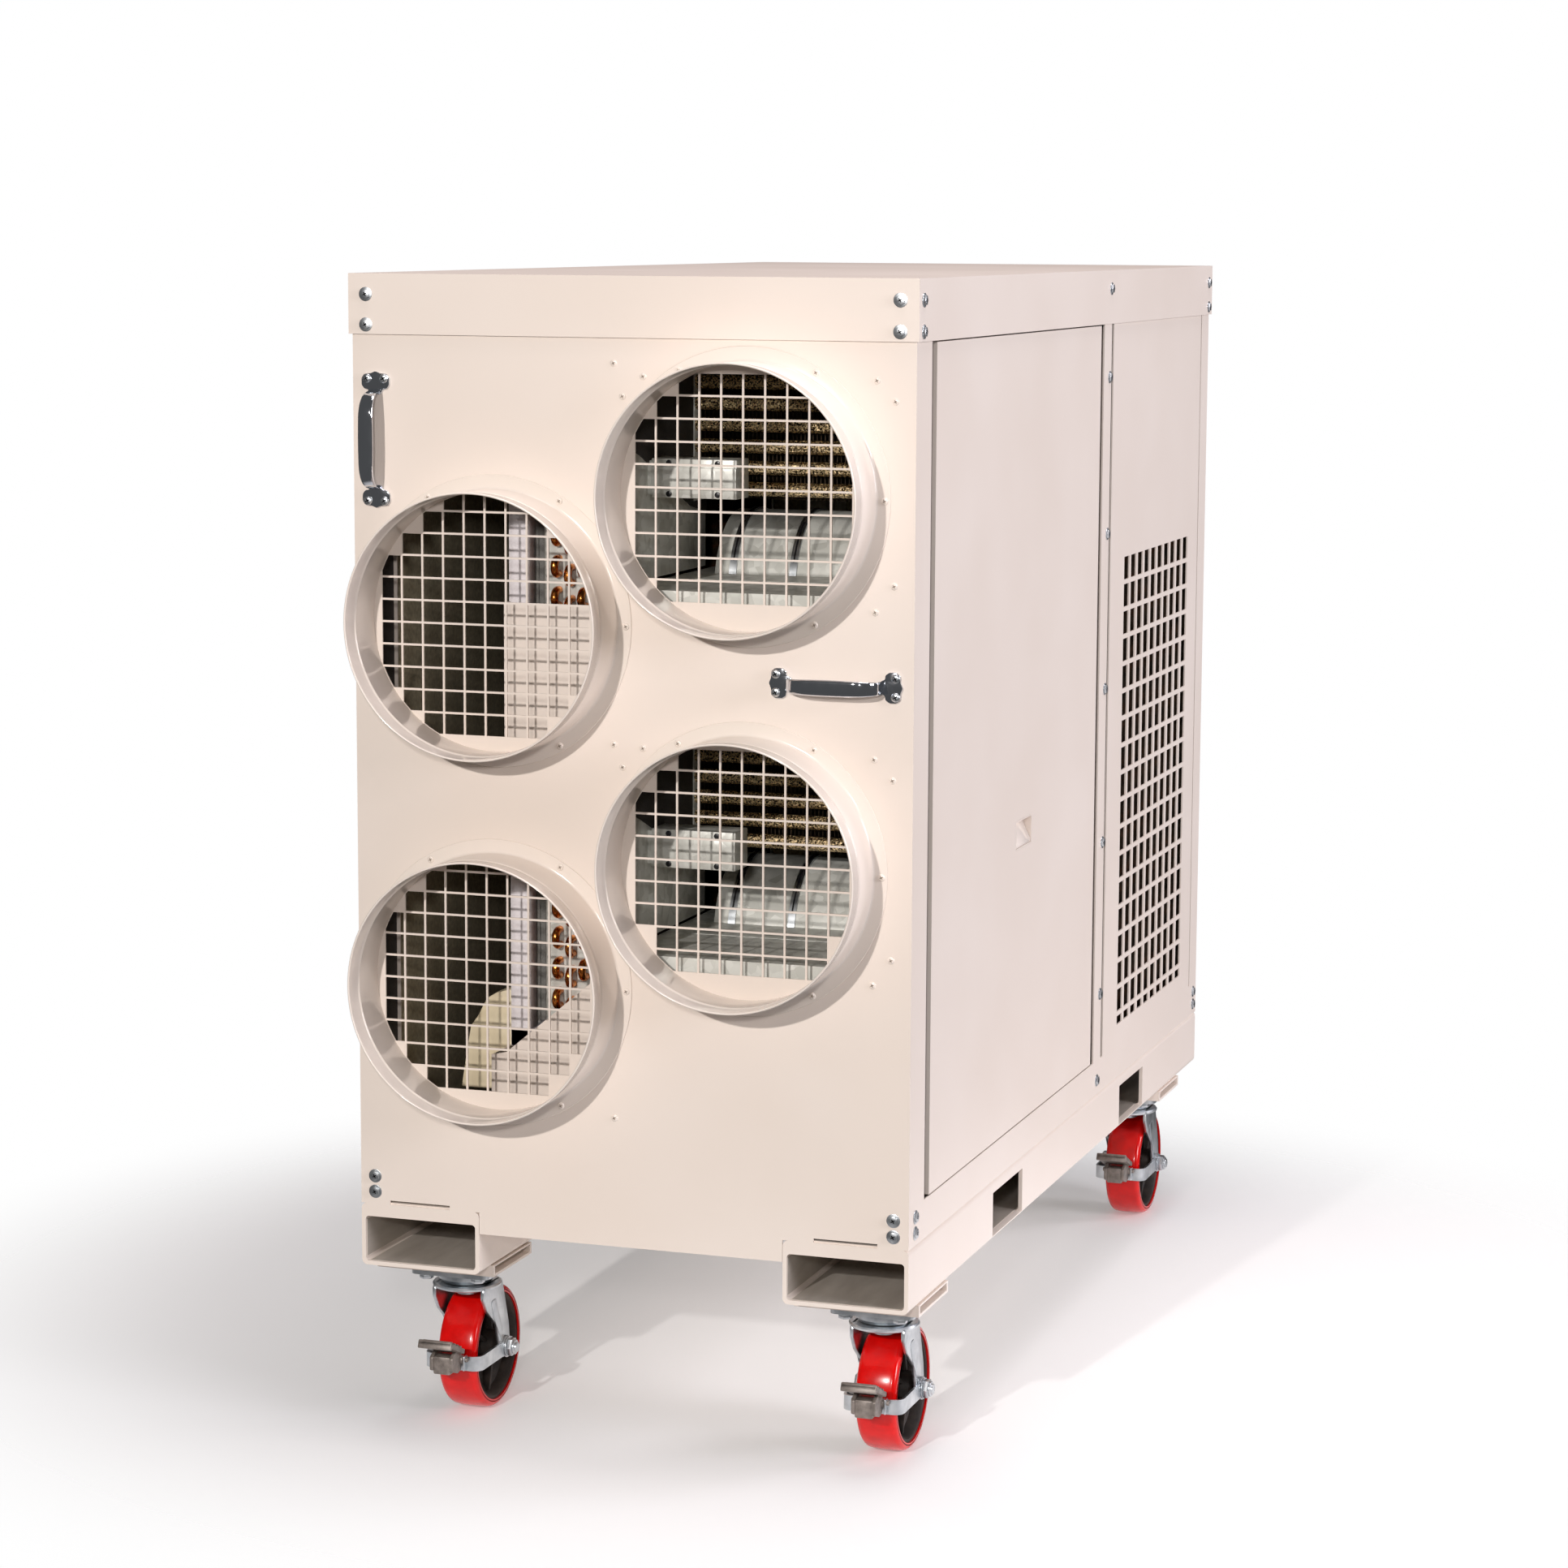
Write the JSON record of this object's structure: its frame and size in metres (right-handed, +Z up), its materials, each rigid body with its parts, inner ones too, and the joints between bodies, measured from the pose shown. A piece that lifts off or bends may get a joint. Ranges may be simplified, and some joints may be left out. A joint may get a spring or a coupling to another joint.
{
  "type": "portable air conditioner",
  "caption": "Portable spot air conditioner: cream sheet-metal cabinet with round duct collars, guard grids and chrome pull handles, on a fork-pocket base with braked swivel casters.",
  "frame": {"origin": "on the floor under the middle of the whole machine", "axes": "+X to the right seen from the front, -Y out of the front, +Z up"},
  "size_m": [0.6982, 1.578, 1.384],
  "materials": {
    "cream_paint": "semi-gloss cream powder coat",
    "cream_collar": "gloss cream powder coat",
    "chrome_handle": "polished",
    "zinc_steel": "bright zinc plate",
    "galvanised": "galvanised sheet",
    "red_tread": "gloss moulded polyurethane",
    "dark_iron": "painted casting",
    "pedal_metal": "grey pedal casting",
    "dark_foam": "dark closed-cell strip",
    "aluminium_fin": "finned coil",
    "copper_tube": "bright copper",
    "filter_card": "pleated filter in card frame",
    "black_enamel": "gloss black enamel",
    "grey_control": "moulded control parts"
  },
  "bodies": {
    "cabinet": {"air_filters": "filter_card", "base_deck": "cream_paint", "bay_divider": "galvanised", "blower_housings": "galvanised", "blower_shelves": "galvanised", "bulkhead": "cream_paint", "caster_bolts": "zinc_steel", "caster_pads": "cream_paint", "caster_plates": "zinc_steel", "compressor": "black_enamel", "condenser_coils": "aluminium_fin", "control_box": "grey_control", "copper_bends": "copper_tube", "corner_screws": "zinc_steel", "cross_sleeves": "cream_paint", "door_handles": "chrome_handle", "duct_collar_lower_left": "cream_collar", "duct_collar_lower_right": "cream_collar", "duct_collar_upper_left": "cream_collar", "duct_collar_upper_right": "cream_collar", "end_rails": "cream_paint", "evaporator_coils": "aluminium_fin", "fan_motors": "black_enamel", "fan_shroud": "galvanised", "fork_tube_left": "cream_paint", "fork_tube_right": "cream_paint", "front_panel": "cream_paint", "gap_strips": "dark_foam", "handle_screws": "zinc_steel", "painted_screws": "cream_paint", "rear_panel": "cream_paint", "side_panels": "cream_paint", "side_rails": "cream_paint", "top_lid": "cream_paint"},
    "left_access_panel": {"access_panel_left": "cream_paint"},
    "right_access_panel": {"access_panel_right": "cream_paint"},
    "lower_blower": {"blower_wheel_lower": "galvanised"},
    "upper_blower": {"blower_wheel_upper": "galvanised"},
    "pedal_front_left": {"brake_pedal_front_left": "pedal_metal"},
    "pedal_front_right": {"brake_pedal_front_right": "pedal_metal"},
    "pedal_rear_left": {"brake_pedal_rear_left": "pedal_metal"},
    "pedal_rear_right": {"brake_pedal_rear_right": "pedal_metal"},
    "swivel_front_left": {"brake_strap_front_left": "zinc_steel", "caster_fork_front_left": "zinc_steel"},
    "swivel_front_right": {"brake_strap_front_right": "zinc_steel", "caster_fork_front_right": "zinc_steel"},
    "swivel_rear_left": {"brake_strap_rear_left": "zinc_steel", "caster_fork_rear_left": "zinc_steel"},
    "swivel_rear_right": {"brake_strap_rear_right": "zinc_steel", "caster_fork_rear_right": "zinc_steel"},
    "condenser_fan_rotor": {"condenser_fan": "galvanised"},
    "control_knob_body": {"control_knob": "grey_control"},
    "wheel_front_left": {"wheel_core_front_left": "dark_iron", "wheel_tread_front_left": "red_tread"},
    "wheel_front_right": {"wheel_core_front_right": "dark_iron", "wheel_tread_front_right": "red_tread"},
    "wheel_rear_left": {"wheel_core_rear_left": "dark_iron", "wheel_tread_rear_left": "red_tread"},
    "wheel_rear_right": {"wheel_core_rear_right": "dark_iron", "wheel_tread_rear_right": "red_tread"}
  },
  "joints": [
    {"name": "right_panel_lift_off", "type": "slide", "parent": "cabinet", "child": "right_access_panel", "axis": [1, 0, 0], "range_m": [0, 0.25]},
    {"name": "left_panel_lift_off", "type": "slide", "parent": "cabinet", "child": "left_access_panel", "axis": [-1, 0, 0], "range_m": [0, 0.25]},
    {"name": "upper_blower_spin", "type": "hinge", "parent": "cabinet", "child": "upper_blower", "pos_m": [0.12025, -0.368, 1.0026], "axis": [1, 0, 0], "continuous": true},
    {"name": "lower_blower_spin", "type": "hinge", "parent": "cabinet", "child": "lower_blower", "pos_m": [0.12025, -0.368, 0.5771], "axis": [1, 0, 0], "continuous": true},
    {"name": "condenser_fan_spin", "type": "hinge", "parent": "cabinet", "child": "condenser_fan_rotor", "pos_m": [0, 0.711, 0.93856], "axis": [0, 1, 0], "continuous": true},
    {"name": "control_knob_turn", "type": "hinge", "parent": "cabinet", "child": "control_knob_body", "pos_m": [-0.202, 0.773, 0.454], "axis": [0, 1, 0], "range_deg": [0, 270]},
    {"name": "swivel_turn_front_left", "type": "hinge", "parent": "cabinet", "child": "swivel_front_left", "pos_m": [-0.25, -0.604, 0.17], "axis": [0, 0, 1], "continuous": true},
    {"name": "wheel_roll_front_left", "type": "hinge", "parent": "swivel_front_left", "child": "wheel_front_left", "pos_m": [-0.25, -0.566, 0.076], "axis": [1, 0, 0], "continuous": true},
    {"name": "brake_press_front_left", "type": "hinge", "parent": "swivel_front_left", "child": "pedal_front_left", "pos_m": [-0.25, -0.657, 0.082], "axis": [1, 0, 0], "range_deg": [0, 25]},
    {"name": "swivel_turn_front_right", "type": "hinge", "parent": "cabinet", "child": "swivel_front_right", "pos_m": [0.282, -0.604, 0.17], "axis": [0, 0, 1], "continuous": true},
    {"name": "wheel_roll_front_right", "type": "hinge", "parent": "swivel_front_right", "child": "wheel_front_right", "pos_m": [0.282, -0.566, 0.076], "axis": [1, 0, 0], "continuous": true},
    {"name": "brake_press_front_right", "type": "hinge", "parent": "swivel_front_right", "child": "pedal_front_right", "pos_m": [0.282, -0.657, 0.082], "axis": [1, 0, 0], "range_deg": [0, 25]},
    {"name": "swivel_turn_rear_left", "type": "hinge", "parent": "cabinet", "child": "swivel_rear_left", "pos_m": [-0.25, 0.607, 0.17], "axis": [0, 0, 1], "continuous": true},
    {"name": "wheel_roll_rear_left", "type": "hinge", "parent": "swivel_rear_left", "child": "wheel_rear_left", "pos_m": [-0.25, 0.645, 0.076], "axis": [1, 0, 0], "continuous": true},
    {"name": "brake_press_rear_left", "type": "hinge", "parent": "swivel_rear_left", "child": "pedal_rear_left", "pos_m": [-0.25, 0.554, 0.082], "axis": [1, 0, 0], "range_deg": [0, 25]},
    {"name": "swivel_turn_rear_right", "type": "hinge", "parent": "cabinet", "child": "swivel_rear_right", "pos_m": [0.282, 0.607, 0.17], "axis": [0, 0, 1], "continuous": true},
    {"name": "wheel_roll_rear_right", "type": "hinge", "parent": "swivel_rear_right", "child": "wheel_rear_right", "pos_m": [0.282, 0.645, 0.076], "axis": [1, 0, 0], "continuous": true},
    {"name": "brake_press_rear_right", "type": "hinge", "parent": "swivel_rear_right", "child": "pedal_rear_right", "pos_m": [0.282, 0.554, 0.082], "axis": [1, 0, 0], "range_deg": [0, 25]}
  ]
}
